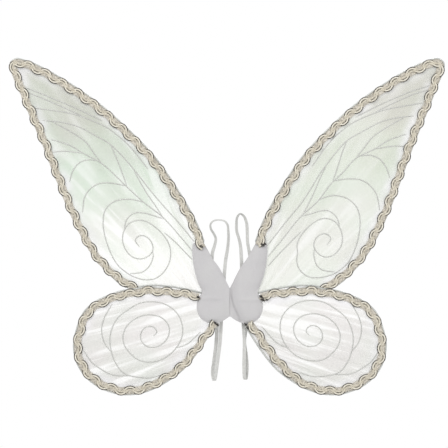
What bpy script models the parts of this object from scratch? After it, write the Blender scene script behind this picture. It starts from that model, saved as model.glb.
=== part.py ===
"""Butterfly costume wings: wire loops skinned with clear film and edged with gimp braid.

Metres, +Z up. X runs across the wings, the decorated face looks along -Y, and the
origin is the middle of the centre seam, about which each half folds.
"""

import math

import bmesh
import bpy
from mathutils import Vector
from mathutils.geometry import delaunay_2d_cdt

# ---------------------------------------------------------------- driving dimensions
MM = 0.001
GAP = 0.3 * MM                   # air left between pieces that touch

WIRE_RADIUS = 1.0 * MM           # sprung steel wire, 2 mm
WIRE_INSET = 1.2 * MM            # wire centre, inwards from the wing's outer edge
UPPER_DEPTH = 1.2 * MM           # the upper loop lies behind the mid-plane ...
LOWER_DEPTH = -1.2 * MM          # ... and the lower loop in front of it
FILM_THICKNESS = 0.3 * MM
FILM_LATTICE = 30.0 * MM         # spacing of the film's inner points, which follow the bow

BRAID_WIDTH = 12.6 * MM
BRAID_INSET = 0.5 * MM
BRAID_THICKNESS = 1.3 * MM

PANEL_THICKNESS = 0.9 * MM       # felt
PANEL_DEPTH = 3.3 * MM           # inner face, out from the mid-plane
PANEL_SEAM_X = 2.3 * MM          # the panels' edge beside the centre seam
PANEL_FULL_X = 13.0 * MM         # the panels stand at their full depth from here outwards
PANEL_FLAT_X = 33.0 * MM         # the outer face is a true plane from here, clear of the straps
PANEL_CROWN = 0.3 * MM           # how far the outer face falls between those two
SEAM_PANEL_DEPTH = 0.15 * MM
SEAM_PANEL_THICKNESS = 0.5 * MM

SEAM_HALF_WIDTH = 2.0 * MM
SEAM_HALF_THICKNESS = 0.7 * MM
SEAM_LOW, SEAM_HIGH = -20.0 * MM, 21.0 * MM

FERRULE_START, FERRULE_END = 20.0 * MM, 26.0 * MM
FERRULE_WIRE_X = (19, 23, 27)    # where the wires run straight through the sleeve, in mm
FERRULE_WALL = 0.5 * MM
FERRULE_PITCH = 1.15 * MM        # each wire's distance from the sleeve's middle
UPPER_FERRULE_Z = 13.55 * MM
LOWER_FERRULE_Z = 5.5 * MM

STRAP_WIDTH = 5.0 * MM
STRAP_THICKNESS = 0.8 * MM
TACK_THICKNESS = 0.6 * MM
TACK_HEIGHT = 1.8 * MM
KNOT_RADIUS = 1.9 * MM
KNOT_HALF_THICKNESS = 0.7 * MM

BOW_DEPTH = 10.0 * MM            # how far the tips lean towards the decorated face
BOW_START = 60.0 * MM
BOW_END = 310.0 * MM
LEAN = 0.015                     # both upper wings lean towards -X above the pads
LEAN_START = 85.0 * MM

# Outlines of one side as (distance from the seam, height) in millimetres.
UPPER_EDGE = [
    (36, 88), (48, 118), (74, 164), (105, 209), (142, 248), (180, 282), (224, 313), (264, 336),
    (286, 345), (300, 347.5), (308.5, 341), (306.5, 327), (299, 309), (285, 274), (267, 232),
    (250, 187), (230, 135), (212, 96), (194, 65), (175, 43), (160, 28.5), (148, 21),
]
UPPER_LOWER_EDGE = [(137, 19.5), (124, 22), (105, 23), (85, 21.5), (62, 17.5), (45, 13.6)]
LOWER_EDGE = [
    (47, 10), (70, 17), (96, 21), (119, 23), (138, 20), (155, 17.5), (172, 11.5), (188, 4.5),
    (201, -4.5), (211, -17), (219, -38), (223, -60), (219.5, -83), (207.5, -104), (190, -119),
    (170, -128), (150, -132), (125, -129.5), (97, -118), (66, -96), (43, -68), (30, -48),
    (20.5, -33),
]
PANEL_EDGE = [
    (37.5, 85.5), (45, 86), (52, 84), (53.5, 76), (53, 64), (50.5, 47), (45, 28), (39.5, 15),
    (44, 8), (47, -2), (46.5, -12), (41, -23), (31, -29), (19, -29.5), (8, -25),
]
PANEL_INNER_EDGE = [(3, 26), (14, 48), (24, 62), (32, 76)]
# The wires' run inside the panels, from the open wing to the end in the ferrule.
UPPER_WIRE_TOP_TAIL = [(38.4, 82), (39, 64), (37.3, 46), (35, 30), (33, 20.5), (30.3, 16)]
UPPER_WIRE_LOW_TAIL = [(38, 12.6), (32, 12.4)]
LOWER_WIRE_TOP_TAIL = [(39, 7.4), (32, 6.65)]
LOWER_WIRE_LOW_TAIL = [(18, -26), (14.8, -15), (13.4, -5), (14.8, 1.8)]
# The film's edge where it is held between the panels.
UPPER_FILM_ROOT = [(42.5, 17.5), (46, 28), (48, 47), (49.5, 64), (48.5, 80), (45.5, 86)]
LOWER_FILM_ROOT = [(27, -34), (34, -27), (42, -15), (43.5, -2), (43, 5)]

UPPER_BRAID_SPAN = (0.006, 0.987)     # shares of UPPER_EDGE and LOWER_EDGE that are trimmed
LOWER_BRAID_SPAN = (0.004, 0.992)

KNOT_SPOTS = {"top": (44.5, 80.5), "side": (41.5, 7.7), "bottom": (22.5, -26.0)}

# Elastic straps: (x, y, z) in millimetres, and the turn of the strap's width from X towards Y.
LEFT_STRAP = [
    (-25.5, 4.9, 53, 0), (-25.5, 4.9, 62, 0), (-24.5, 5.2, 72, 10), (-21.5, 5.8, 82, 30),
    (-20, 6.2, 91, 50), (-22.8, 6.6, 98, 70), (-27, 6.8, 105, 80), (-27.3, 7.0, 112, 88),
    (-22.5, 7.0, 116.6, 90), (-15, 7.0, 117.6, 90), (-7.5, 7.0, 116, 92), (-3.4, 6.8, 111, 100),
    (-2.3, 6.6, 103, 115), (-1.9, 6.3, 92, 135), (-3.2, 5.9, 77, 155), (-6, 5.4, 60, 172),
    (-7.7, 4.9, 42, 180), (-9, 4.9, 20, 180), (-10.5, 4.9, 0, 180), (-12, 4.9, -18, 180),
    (-12.4, 5.0, -32, 180), (-14.3, 5.6, -60, 180), (-17.2, 6.1, -82, 180),
    (-19.8, 6.4, -99, 180), (-21.2, 7.0, -106.5, 180), (-22.2, 9.4, -110, 180),
    (-23.6, 11.8, -106.5, 180), (-24.6, 12.2, -99, 180), (-22.4, 10.8, -82, 180),
    (-19.7, 8.6, -60, 180), (-18.2, 5.6, -34, 180), (-18, 4.9, -26, 180), (-18, 4.9, -18, 180),
]
RIGHT_STRAP = [
    (29.5, 4.9, 53, 180), (29, 4.9, 64, 180), (27.2, 5.2, 75, 170), (25.3, 5.8, 87, 150),
    (25, 6.2, 100, 128), (24, 6.6, 113, 105), (20.5, 6.9, 122.5, 92), (15, 7.0, 126.5, 90),
    (10.8, 7.0, 122, 88), (9.5, 6.8, 113, 76), (10, 6.5, 101, 56), (13, 6.1, 91, 36),
    (15.3, 5.7, 80, 20), (16.4, 5.2, 64, 6), (17, 4.9, 50, 0), (17.5, 4.9, 25, 0),
    (18, 4.9, 0, 0), (18.6, 4.9, -20, 0), (19.6, 5.1, -36, 0), (20.8, 5.6, -56, 0),
    (20.6, 6.2, -75, 0), (20.3, 6.6, -90, 0), (21, 7.0, -103.5, 0), (22.2, 9.4, -107.5, 0),
    (23.6, 11.9, -103.5, 0), (24.6, 12.2, -90, 0), (23.2, 11.0, -75, 0), (21.9, 9.0, -56, 0),
    (23.4, 6.0, -36, 0), (24.4, 4.9, -26, 0), (24.4, 4.9, -18, 0),
]
STRAP_TACKS = {
    "left": {"top": (-25.5, 57, 5.8), "bottom": (-15.0, -22, 12.0)},
    "right": {"top": (29.3, 57, 5.8), "bottom": (21.5, -22, 12.0)},
}


# ---------------------------------------------------------------- materials
def principled(name, color, roughness, metallic=0.0, alpha=1.0):
    """A plain Principled material."""
    material = bpy.data.materials.new(name)
    material.use_nodes = True
    shader = material.node_tree.nodes["Principled BSDF"]
    shader.inputs["Base Color"].default_value = (*color, 1.0)
    shader.inputs["Roughness"].default_value = roughness
    shader.inputs["Metallic"].default_value = metallic
    shader.inputs["Alpha"].default_value = alpha
    material.diffuse_color = (*color, alpha)
    return material


def make_materials():
    """Every material, by the name of what it covers."""
    return {
        "wire": principled("steel_wire", (0.62, 0.62, 0.62), 0.35, 1.0),
        "ferrule": principled("crimp_sleeve", (0.72, 0.72, 0.73), 0.4, 1.0),
        "upper_film": principled("green_tinted_film", (0.80, 0.86, 0.76), 0.15, 0.0, 0.5),
        "lower_film": principled("clear_film", (0.90, 0.90, 0.90), 0.15, 0.0, 0.5),
        "braid": principled("gimp_braid", (0.62, 0.58, 0.50), 0.8),
        "felt": principled("lavender_grey_felt", (0.62, 0.61, 0.63), 0.95),
        "seam": principled("seam_binding", (0.58, 0.57, 0.59), 0.95),
        "elastic": principled("white_elastic", (0.80, 0.80, 0.80), 0.85),
        "thread": principled("dark_thread", (0.16, 0.15, 0.14), 0.8),
        "tack": principled("white_thread", (0.85, 0.85, 0.85), 0.8),
    }


# ---------------------------------------------------------------- curves in a plane
def knot_times(points):
    """Centripetal parameters for a curve through points."""
    times = [0.0]
    for a, b in zip(points, points[1:]):
        times.append(times[-1] + math.sqrt((b - a).length))
    return times


def smooth(points, pieces):
    """A centripetal Catmull-Rom curve through points, each span cut into pieces."""
    knots = [Vector(p) for p in points]
    knots = [2 * knots[0] - knots[1]] + knots + [2 * knots[-1] - knots[-2]]
    times = knot_times(knots)
    curve = []
    for i in range(1, len(knots) - 2):
        p0, p1, p2, p3 = knots[i - 1:i + 3]
        t0, t1, t2, t3 = times[i - 1:i + 3]
        for k in range(pieces):
            t = t1 + (t2 - t1) * k / pieces
            a1 = p0.lerp(p1, (t - t0) / (t1 - t0))
            a2 = p1.lerp(p2, (t - t1) / (t2 - t1))
            a3 = p2.lerp(p3, (t - t2) / (t3 - t2))
            b1 = a1.lerp(a2, (t - t0) / (t2 - t0))
            b2 = a2.lerp(a3, (t - t1) / (t3 - t1))
            curve.append(b1.lerp(b2, (t - t1) / (t2 - t1)))
    curve.append(knots[-2])
    return curve


def flat_curve(points_mm, pieces):
    """A smooth curve in a plane, from points in millimetres, in metres."""
    return smooth([(x * MM, z * MM) for x, z in points_mm], pieces)


def along(curve, span):
    """The part of a curve between two shares of its length, with its ends on those shares."""
    lengths = [0.0]
    for a, b in zip(curve, curve[1:]):
        lengths.append(lengths[-1] + (b - a).length)
    low, high = span[0] * lengths[-1], span[1] * lengths[-1]

    def at(distance):
        for i in range(1, len(curve)):
            if lengths[i] >= distance:
                share = (distance - lengths[i - 1]) / (lengths[i] - lengths[i - 1])
                return curve[i - 1].lerp(curve[i], share)
        return curve[-1]

    inner = [p for p, s in zip(curve, lengths) if low + MM < s < high - MM]
    return [at(low)] + inner + [at(high)]


def nearest(point, curve):
    """Distance from a point to a polyline."""
    best = math.inf
    for a, b in zip(curve, curve[1:]):
        run = b - a
        share = max(0.0, min(1.0, (point - a).dot(run) / run.length_squared))
        best = min(best, (a + run * share - point).length)
    return best


def inset(curve, distance):
    """A clockwise curve moved to its inner side, without the loops that a tight turn makes."""
    moved = []
    for i, point in enumerate(curve):
        run = curve[min(i + 1, len(curve) - 1)] - curve[max(i - 1, 0)]
        inward = Vector((run.y, -run.x)).normalized()
        moved.append(point + inward * distance)
    return [p for p in moved if nearest(p, curve) > distance - 0.05 * MM]


def inside(point, outline):
    """Whether a point is inside a closed outline."""
    hit = False
    for a, b in zip(outline, outline[1:] + outline[:1]):
        if (a.y > point.y) != (b.y > point.y):
            cross = a.x + (point.y - a.y) * (b.x - a.x) / (b.y - a.y)
            hit = hit != (point.x < cross)
    return hit


def lattice(outline, spacing, margin):
    """Staggered points inside an outline, no nearer to it than margin."""
    closed = outline + outline[:1]
    low_x, high_x = min(p.x for p in outline), max(p.x for p in outline)
    low_z, high_z = min(p.y for p in outline), max(p.y for p in outline)
    points = []
    column = 0
    x = low_x
    while x < high_x:
        z = low_z + (column % 2) * spacing / 2
        while z < high_z:
            point = Vector((x, z))
            if inside(point, outline) and nearest(point, closed) > margin:
                points.append(point)
            z += spacing
        x += spacing * math.sqrt(3) / 2
        column += 1
    return points


def cut_by_lines(outline, lines):
    """Points where upright lines cross an outline, put into it, and points along the lines."""
    creases = []
    for x, low, high in lines:
        cut = []
        for a, b in zip(outline, outline[1:] + outline[:1]):
            cut.append(a)
            if (a.x - x) * (b.x - x) < 0:
                cut.append(a.lerp(b, (x - a.x) / (b.x - a.x)))
        outline = cut
        steps = [Vector((x, z * MM)) for z in range(low, high, 8)]
        creases += [p for p in steps if inside(p, outline) and nearest(p, outline) > MM]
    return outline, creases


def bow(x):
    """How far the wing leans towards the decorated face at a distance from the seam."""
    share = max(0.0, (abs(x) - BOW_START) / (BOW_END - BOW_START))
    return -BOW_DEPTH * share * share


def across(point, side):
    """A point's X on its side, with the upper wings' slight lean."""
    return side * point.x - LEAN * max(0.0, point.y - LEAN_START)


# ---------------------------------------------------------------- solids
def add_object(name, mesh, material):
    """Link a mesh as a named object with its material."""
    obj = bpy.data.objects.new(name, mesh)
    bpy.context.scene.collection.objects.link(obj)
    mesh.materials.append(material)
    return obj


def close_mesh(name, bm, material, smooth_angle=None):
    """Turn a closed bmesh outwards and make it an object."""
    bm.normal_update()
    bmesh.ops.recalc_face_normals(bm, faces=bm.faces[:])
    mesh = bpy.data.meshes.new(name)
    bm.to_mesh(mesh)
    bm.free()
    if smooth_angle is not None:
        mesh.shade_smooth()
        mesh.set_sharp_from_angle(angle=math.radians(smooth_angle))
    return add_object(name, mesh, material)


def plate(name, outline, inner, front, back, side, material):
    """A closed sheet: outline and inner points, between the depths front(x) and back(x)."""
    points = outline + inner
    vertices, _, faces, _, _, _ = delaunay_2d_cdt(
        points, [], [list(range(len(outline)))], 1, 1e-7)
    bm = bmesh.new()
    near = [bm.verts.new((across(p, side), front(p.x), p.y)) for p in vertices]
    far = [bm.verts.new((across(p, side), back(p.x), p.y)) for p in vertices]
    for face in faces:
        bm.faces.new([near[i] for i in face])
        bm.faces.new([far[i] for i in reversed(face)])
    rim = [e for e in bm.edges if len(e.link_faces) == 1 and e.verts[0] in set(near)]
    partner = dict(zip(near, far))
    for edge in rim:
        a, b = edge.verts
        bm.faces.new((b, a, partner[a], partner[b]))
    return close_mesh(name, bm, material)


def wire(name, curve, depth, side, material):
    """A bent round wire along a curve in the wing."""
    data = bpy.data.curves.new(name, "CURVE")
    data.dimensions = "3D"
    data.bevel_depth = WIRE_RADIUS
    data.bevel_resolution = 2
    data.use_fill_caps = True
    spline = data.splines.new("POLY")
    spline.points.add(len(curve) - 1)
    for target, p in zip(spline.points, curve):
        target.co = (across(p, side), depth + bow(p.x), p.y, 1.0)
    data.materials.append(material)
    obj = bpy.data.objects.new(name, data)
    bpy.context.scene.collection.objects.link(obj)
    return obj


def braid(name, edge, span, depth, side, material):
    """The flat trim along the edge, in front of the wire."""
    run = along(edge, span)
    outline = inset(run, BRAID_INSET) + inset(run, BRAID_INSET + BRAID_WIDTH)[::-1]
    back = depth - WIRE_RADIUS - GAP
    return plate(
        name, outline, [],
        lambda x: back - BRAID_THICKNESS + bow(x), lambda x: back + bow(x), side, material)


def film(name, outline, depth, side, material):
    """The clear skin inside a wire loop."""
    inner = lattice(outline, FILM_LATTICE, FILM_LATTICE * 0.45)
    half = FILM_THICKNESS / 2
    return plate(
        name, outline, inner,
        lambda x: depth - half + bow(x), lambda x: depth + half + bow(x), side, material)


def panel(name, facing, side, material):
    """A felt panel: flat outside, and drawn in to the seam. facing is -1 in front, 1 behind."""
    outer = flat_curve(PANEL_EDGE, 2)
    bottom = Vector((PANEL_SEAM_X, SEAM_LOW))
    top = Vector((PANEL_SEAM_X, SEAM_HIGH))
    inner_edge = flat_curve(PANEL_INNER_EDGE, 2)
    outline = outer + [bottom, top] + inner_edge
    crease_ends = ((PANEL_FULL_X, -24, 45), (PANEL_FLAT_X, -28, 77))
    outline, creases = cut_by_lines(outline, crease_ends)

    def ramp(x, start, end, low, high):
        share = max(0.0, min(1.0, (x - start) / (end - start)))
        return low + (high - low) * share

    def near_face(x):
        return facing * ramp(x, PANEL_SEAM_X, PANEL_FULL_X, SEAM_PANEL_DEPTH, PANEL_DEPTH)

    def far_face(x):
        full = PANEL_DEPTH + PANEL_THICKNESS
        if x > PANEL_FULL_X:
            return facing * ramp(x, PANEL_FULL_X, PANEL_FLAT_X, full - PANEL_CROWN, full)
        seam = SEAM_PANEL_DEPTH + SEAM_PANEL_THICKNESS
        return facing * ramp(x, PANEL_SEAM_X, PANEL_FULL_X, seam, full - PANEL_CROWN)

    return plate(name, outline, creases, near_face, far_face, side, material)


def ring(centre, half_length, radius, steps):
    """A stadium about a point in the Y-Z plane, long in Z: a list of (y, z)."""
    points = []
    for end in (1, -1):
        for k in range(steps + 1):
            angle = math.pi * k / steps + (0 if end > 0 else math.pi)
            y = centre[0] + radius * math.cos(angle)
            points.append((y, centre[1] + end * half_length + radius * math.sin(angle)))
    return points


def ferrule(name, depth, height, side, material):
    """A flattened crimp sleeve round two wires that run along X."""
    bore = WIRE_RADIUS + GAP
    bm = bmesh.new()
    loops = []
    for radius, x in ((bore, FERRULE_START), (bore, FERRULE_END),
                      (bore + FERRULE_WALL, FERRULE_END), (bore + FERRULE_WALL, FERRULE_START)):
        outline = ring((depth, height), FERRULE_PITCH, radius, 6)
        loops.append([bm.verts.new((side * x, y, z)) for y, z in outline])
    count = len(loops[0])
    for a, b in zip(loops, loops[1:] + loops[:1]):
        for i in range(count):
            j = (i + 1) % count
            bm.faces.new((a[i], a[j], b[j], b[i]))
    return close_mesh(name, bm, material, 40)


def knot(name, spot, side, material):
    """A small flattened thread knot on the front panel."""
    bm = bmesh.new()
    bmesh.ops.create_uvsphere(bm, u_segments=10, v_segments=6, radius=1.0)
    front = -(PANEL_DEPTH + PANEL_THICKNESS + GAP + KNOT_HALF_THICKNESS)
    for v in bm.verts:
        x, y, z = v.co
        v.co = (side * spot[0] * MM + x * KNOT_RADIUS,
                front + z * KNOT_HALF_THICKNESS,
                spot[1] * MM + y * KNOT_RADIUS)
    return close_mesh(name, bm, material, 60)


def strap(name, route, material):
    """A flat elastic strap: a rectangle carried along its route, its width turned as stated."""
    path = smooth([(x * MM, y * MM, z * MM) for x, y, z, _ in route], 3)
    turns = [v.x for v in smooth([(turn, i * 0.01) for i, (_, _, _, turn) in enumerate(route)], 3)]
    bm = bmesh.new()
    rings = []
    for i, point in enumerate(path):
        run = (path[min(i + 1, len(path) - 1)] - path[max(i - 1, 0)]).normalized()
        angle = math.radians(turns[i])
        width = Vector((math.cos(angle), math.sin(angle), 0.0))
        width = (width - run * width.dot(run)).normalized() * STRAP_WIDTH / 2
        depth = run.cross(width).normalized() * STRAP_THICKNESS / 2
        corners = (width + depth, width - depth, -width - depth, -width + depth)
        rings.append([bm.verts.new(point + c) for c in corners])
    for a, b in zip(rings, rings[1:]):
        for k in range(4):
            bm.faces.new((a[k], a[(k + 1) % 4], b[(k + 1) % 4], b[k]))
    bm.faces.new(rings[0])
    bm.faces.new(rings[-1])
    return close_mesh(name, bm, material)


def block(name, low, high, bevel, material):
    """A box between two corners with softened edges."""
    bm = bmesh.new()
    bmesh.ops.create_cube(bm, size=1.0)
    for v in bm.verts:
        v.co = [(a + b) / 2 + c * (b - a) for a, b, c in zip(low, high, v.co)]
    bmesh.ops.bevel(bm, geom=bm.edges[:], offset=bevel, segments=1, affect="EDGES")
    return close_mesh(name, bm, material)


def tack(name, spot, material):
    """A bar of stitches that holds a strap to the back panel."""
    x, z, width = (v * MM for v in spot)
    back = PANEL_DEPTH + PANEL_THICKNESS + GAP + STRAP_THICKNESS + GAP
    low = (x - width / 2, back, z - TACK_HEIGHT / 2)
    high = (x + width / 2, back + TACK_THICKNESS, z + TACK_HEIGHT / 2)
    return block(name, low, high, 0.15 * MM, material)


def seam(name, material):
    """The binding that joins the halves, an oval bar on the fold's axis."""
    bm = bmesh.new()
    sides = 16
    rings = []
    for z, scale in ((SEAM_LOW, 0.6), (SEAM_LOW + MM, 1.0), (SEAM_HIGH - MM, 1.0), (SEAM_HIGH, 0.6)):
        loop = []
        for k in range(sides):
            angle = 2 * math.pi * k / sides
            x = SEAM_HALF_WIDTH * scale * math.cos(angle)
            y = SEAM_HALF_THICKNESS * scale * math.sin(angle)
            loop.append(bm.verts.new((x, y, z)))
        rings.append(loop)
    for a, b in zip(rings, rings[1:]):
        for k in range(sides):
            bm.faces.new((a[k], a[(k + 1) % sides], b[(k + 1) % sides], b[k]))
    bm.faces.new(rings[0])
    bm.faces.new(rings[-1])
    return close_mesh(name, bm, material, 40)


# ---------------------------------------------------------------- assembly
def in_ferrule(height):
    """A wire's straight run through a ferrule, outwards from the seam, in millimetres."""
    return [(x, height / MM) for x in FERRULE_WIRE_X]


def upper_curves():
    """The upper wing's trimmed edge, the wire's route and the film's outline."""
    edge = flat_curve(UPPER_EDGE, 3)
    whole = flat_curve(UPPER_EDGE + UPPER_LOWER_EDGE, 3)
    top_tail = in_ferrule(UPPER_FERRULE_Z + FERRULE_PITCH) + UPPER_WIRE_TOP_TAIL[::-1]
    low_tail = UPPER_WIRE_LOW_TAIL + in_ferrule(UPPER_FERRULE_Z - FERRULE_PITCH)[::-1]
    run = inset(whole, WIRE_INSET)
    route = flat_curve(top_tail, 2) + run + flat_curve(low_tail, 2)
    skin = inset(whole, WIRE_INSET + WIRE_RADIUS + GAP)
    outline = skin + flat_curve(UPPER_FILM_ROOT, 2)
    return edge, route, outline


def lower_curves():
    """The lower wing's trimmed edge, the wire's route and the film's outline."""
    edge = flat_curve(LOWER_EDGE, 3)
    top_tail = in_ferrule(LOWER_FERRULE_Z + FERRULE_PITCH) + LOWER_WIRE_TOP_TAIL[::-1]
    low_tail = LOWER_WIRE_LOW_TAIL + in_ferrule(LOWER_FERRULE_Z - FERRULE_PITCH)
    route = flat_curve(top_tail, 2) + inset(edge, WIRE_INSET) + flat_curve(low_tail, 2)
    outline = inset(edge, WIRE_INSET + WIRE_RADIUS + GAP) + flat_curve(LOWER_FILM_ROOT, 2)
    return edge, route, outline


def make_half(label, side, mats):
    """One half of the wings: everything that folds about the seam on that side."""
    upper_edge, upper_route, upper_outline = upper_curves()
    lower_edge, lower_route, lower_outline = lower_curves()
    made = [
        wire(f"{label}_upper_wire", upper_route, UPPER_DEPTH, side, mats["wire"]),
        wire(f"{label}_lower_wire", lower_route, LOWER_DEPTH, side, mats["wire"]),
        film(f"{label}_upper_film", upper_outline, UPPER_DEPTH, side, mats["upper_film"]),
        film(f"{label}_lower_film", lower_outline, LOWER_DEPTH, side, mats["lower_film"]),
        braid(f"{label}_upper_braid", upper_edge, UPPER_BRAID_SPAN, UPPER_DEPTH, side,
              mats["braid"]),
        braid(f"{label}_lower_braid", lower_edge, LOWER_BRAID_SPAN, LOWER_DEPTH, side,
              mats["braid"]),
        panel(f"{label}_front_panel", -1, side, mats["felt"]),
        panel(f"{label}_back_panel", 1, side, mats["felt"]),
        ferrule(f"{label}_upper_ferrule", UPPER_DEPTH, UPPER_FERRULE_Z, side, mats["ferrule"]),
        ferrule(f"{label}_lower_ferrule", LOWER_DEPTH, LOWER_FERRULE_Z, side, mats["ferrule"]),
    ]
    for place, spot in KNOT_SPOTS.items():
        made.append(knot(f"{label}_braid_knot_{place}", spot, side, mats["thread"]))
    for place, spot in STRAP_TACKS[label].items():
        made.append(tack(f"{label}_strap_tack_{place}", spot, mats["tack"]))
    return made


def main():
    for obj in list(bpy.data.objects):
        bpy.data.objects.remove(obj, do_unlink=True)
    mats = make_materials()
    seam("centre_seam", mats["seam"])
    routes = {"left": LEFT_STRAP, "right": RIGHT_STRAP}
    for label, side in (("left", -1), ("right", 1)):
        hinge = bpy.data.objects.new(f"{label}_fold", None)
        bpy.context.scene.collection.objects.link(hinge)
        made = make_half(label, side, mats)
        made.append(strap(f"{label}_strap", routes[label], mats["elastic"]))
        for obj in made:
            obj.parent = hinge


main()
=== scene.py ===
"""Looks for the fairy wings: film, gimp braid, glitter scrolls, felt pads and elastic straps."""
import math

import bmesh
import bpy
import numpy as np
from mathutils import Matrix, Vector
from mathutils.geometry import delaunay_2d_cdt


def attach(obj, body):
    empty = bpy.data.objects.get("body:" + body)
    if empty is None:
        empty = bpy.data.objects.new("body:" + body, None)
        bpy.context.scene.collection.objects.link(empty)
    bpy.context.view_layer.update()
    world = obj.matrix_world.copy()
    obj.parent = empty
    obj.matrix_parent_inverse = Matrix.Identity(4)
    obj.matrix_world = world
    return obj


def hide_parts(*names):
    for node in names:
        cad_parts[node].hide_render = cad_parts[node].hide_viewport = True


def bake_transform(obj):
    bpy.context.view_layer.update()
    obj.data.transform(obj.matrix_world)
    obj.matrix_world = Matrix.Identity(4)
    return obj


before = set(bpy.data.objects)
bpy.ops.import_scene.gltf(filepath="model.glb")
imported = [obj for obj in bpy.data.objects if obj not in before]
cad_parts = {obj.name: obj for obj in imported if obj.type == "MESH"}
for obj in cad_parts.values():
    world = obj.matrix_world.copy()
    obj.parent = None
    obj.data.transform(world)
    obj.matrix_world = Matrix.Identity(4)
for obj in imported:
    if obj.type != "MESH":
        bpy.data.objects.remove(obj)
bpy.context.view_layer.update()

MM = 0.001

# ---------------------------------------------------------------- sizes shared with the CAD
WIRE_RADIUS = 1.0 * MM
WIRE_INSET = 1.2 * MM
UPPER_DEPTH = 1.2 * MM
LOWER_DEPTH = -1.2 * MM
BRAID_GAP = 0.3 * MM
BOW_DEPTH = 10.0 * MM
BOW_START = 60.0 * MM
BOW_END = 310.0 * MM
LEAN = 0.015
LEAN_START = 85.0 * MM
STRAP_WIDTH = 5.0 * MM
STRAP_THICKNESS = 0.8 * MM
PANEL_DEPTH = 4.2 * MM           # the felt's outer face, out from the mid-plane

# ---------------------------------------------------------------- sizes of the looks
HEM_RADIUS = 1.35 * MM           # the film's sleeve round the wire
FILM_SPACING = 4.0 * MM
FILM_THICKNESS = 0.2 * MM
CURVE_STEP = 2.0 * MM            # between points of an outline or of a glitter line
SCROLL_RADIUS = 0.68 * MM
SCROLL_GAP = 0.5 * MM            # from the film's face to the middle of a glitter line
BRAID_CENTRE = 6.7 * MM          # from the wing's edge to the braid's middle
BRAID_PERIOD = 26.5 * MM
BRAID_SWING = 3.9 * MM
RIBBON_HALF_WIDTH = 5.6 * MM
RIBBON_THICKNESS = 0.5 * MM
NET_COLUMNS = 11                 # points across the netting
FELT_STEP = 1.5 * MM
FELT_SHEET = 1.0 * MM            # the felt's own thickness
SEAM_EDGE = 0.35 * MM            # front felt nearer the seam than this is drawn up to it
STITCH_LENGTH = 2.4 * MM
STITCH_PITCH = 3.6 * MM
STITCH_INSET = 2.4 * MM
STITCH_RADIUS = 0.20 * MM
STITCHES_FROM = 11.0 * MM        # no stitches nearer the seam than this
KNOT_LOOPS = 8
KNOT_ENDS = 8
WAIST = {-1: 6.0 * MM, 1: 4.0 * MM}      # height of the ridge in each side's pad
UPPER_POLE, LOWER_POLE = (0.03, 0.02), (0.0, 0.01)      # where the film's folds fan out from
UPPER_RIPPLE, LOWER_RIPPLE = 0.55 * MM, 0.45 * MM
PAD_SEED, UPPER_BRAID_SEED, LOWER_BRAID_SEED, KNOT_SEED = 11, 21, 22, 30
# Strands of the serpentine on one side of its middle: (offset, radius) in millimetres and the
# tone on its own lobe, between lobes and on the opposite lobe. The dark metallic thread is the
# braid's own colour. Its change along the lobes, darkest on the outside of a crest and lighter
# between crests, is painted shade and painted reflection.
STRANDS = [
    (2.75, 0.74, 0.0, 0.54, 0.64), (1.60, 0.62, 0.92, 0.64, 0.52), (0.62, 0.56, 0.72, 0.60, 0.04),
]

# Outlines of one side as (distance from the seam, height) in millimetres: the CAD's, with a
# few points added or moved where an edge runs under the felt or meets the seam.
UPPER_EDGE = [
    (36, 88), (48, 118), (74, 164), (105, 209), (142, 248), (180, 282), (224, 313), (264, 336),
    (286, 345), (300, 347.5), (308.5, 341), (306.5, 327), (299, 309), (285, 274), (267, 232),
    (250, 187), (230, 135), (212, 96), (194, 65), (175, 43), (160, 28.5), (148, 21),
]
UPPER_LOWER_EDGE = [(137, 19.5), (124, 22), (105, 23), (85, 21.5), (62, 17.5), (45, 13.6),
                    (39.5, 12.2)]
LOWER_EDGE = [
    (47, 10), (70, 17), (96, 21), (119, 23), (138, 20), (155, 17.5), (172, 11.5), (188, 4.5),
    (201, -4.5), (211, -17), (219, -38), (223, -60), (219.5, -83), (207.5, -104), (190, -119),
    (170, -128), (150, -132), (125, -129.5), (97, -118), (66, -96), (43, -68), (30, -48),
    (20.5, -33),
]
PANEL_EDGE = [
    (37.5, 85.5), (45, 86), (52, 84), (53.5, 76), (53, 64), (50.5, 47), (45, 28), (39.5, 15),
    (44, 8), (47, -2), (46.5, -12), (41, -23), (31, -29), (19, -29.5), (8, -25), (0.3, -19.6),
]
PANEL_INNER_EDGE = [(0.3, 20.7), (3, 26), (14, 48), (24, 62), (32, 76)]
# Where the braid lies when that is not on the wing's own edge.
UPPER_BRAID_END = [(138, 13.5), (129, 7)]
LOWER_BRAID_START = [(42.5, 15), (56, 18), (72, 20.5), (96, 22.5), (119, 23.5)]
LOWER_BRAID_END = {
    "left": [(64, -95.5), (40, -66.5), (26.5, -48), (18, -36.5), (15.5, -33.5)],
    "right": [(69.5, -94.5), (47.5, -68), (35, -49.5), (25.5, -37), (22.5, -34)],
}
# How far before the upper wing's first point its braid starts.
BRAID_OVERRUN = {"left": 8.0 * MM, "right": 4.5 * MM}
# How far the braid is sewn outwards of the wire on the upper wing's trailing edge.
BRAID_OVERHANG = {"left": 2.4 * MM, "right": 1.2 * MM}
# Where the films end, under the felt.
UPPER_FILM_ROOT = [(37.5, 16), (42, 28), (46, 47), (48.5, 64), (48, 80), (45.5, 86)]
LOWER_FILM_ROOT = [(27, -34), (34, -27), (42, -15), (43.5, -2), (43, 5)]

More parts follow.
